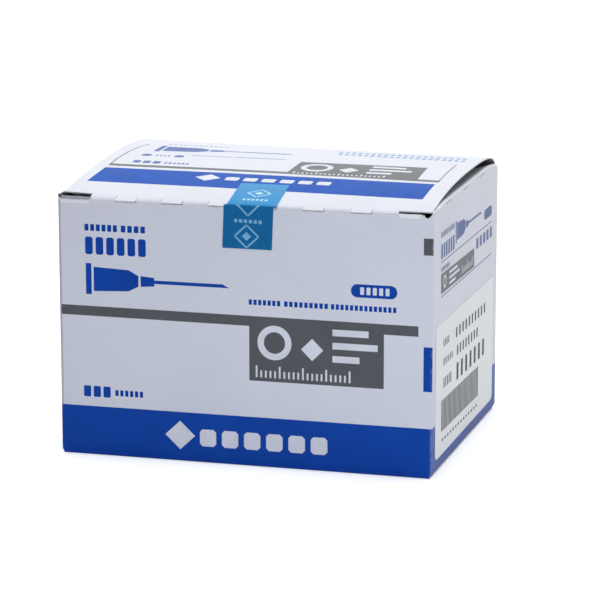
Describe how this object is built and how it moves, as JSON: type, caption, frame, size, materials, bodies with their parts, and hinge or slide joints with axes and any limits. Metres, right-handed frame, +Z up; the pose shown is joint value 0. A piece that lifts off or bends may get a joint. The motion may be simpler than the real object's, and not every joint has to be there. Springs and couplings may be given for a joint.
{
  "type": "tuck-top folding carton for hypodermic needles",
  "caption": "Closed tuck-top folding carton of printed board that holds blister-packed hypodermic needles, its bowed lid sealed with a strip of film, with a data label on one end.",
  "frame": {"origin": "on the surface that the carton stands on, under the middle of its four walls", "axes": "+X along the front from its left to its right, +Y from the front to the back, +Z up"},
  "size_m": [0.1232, 0.0961, 0.0913],
  "materials": {
    "board": "printed, satin coated",
    "film": "printed film",
    "label": "matt"
  },
  "bodies": {
    "root": {"carton": "board", "seal_tape": "film", "data_label": "label"}
  },
  "joints": []
}
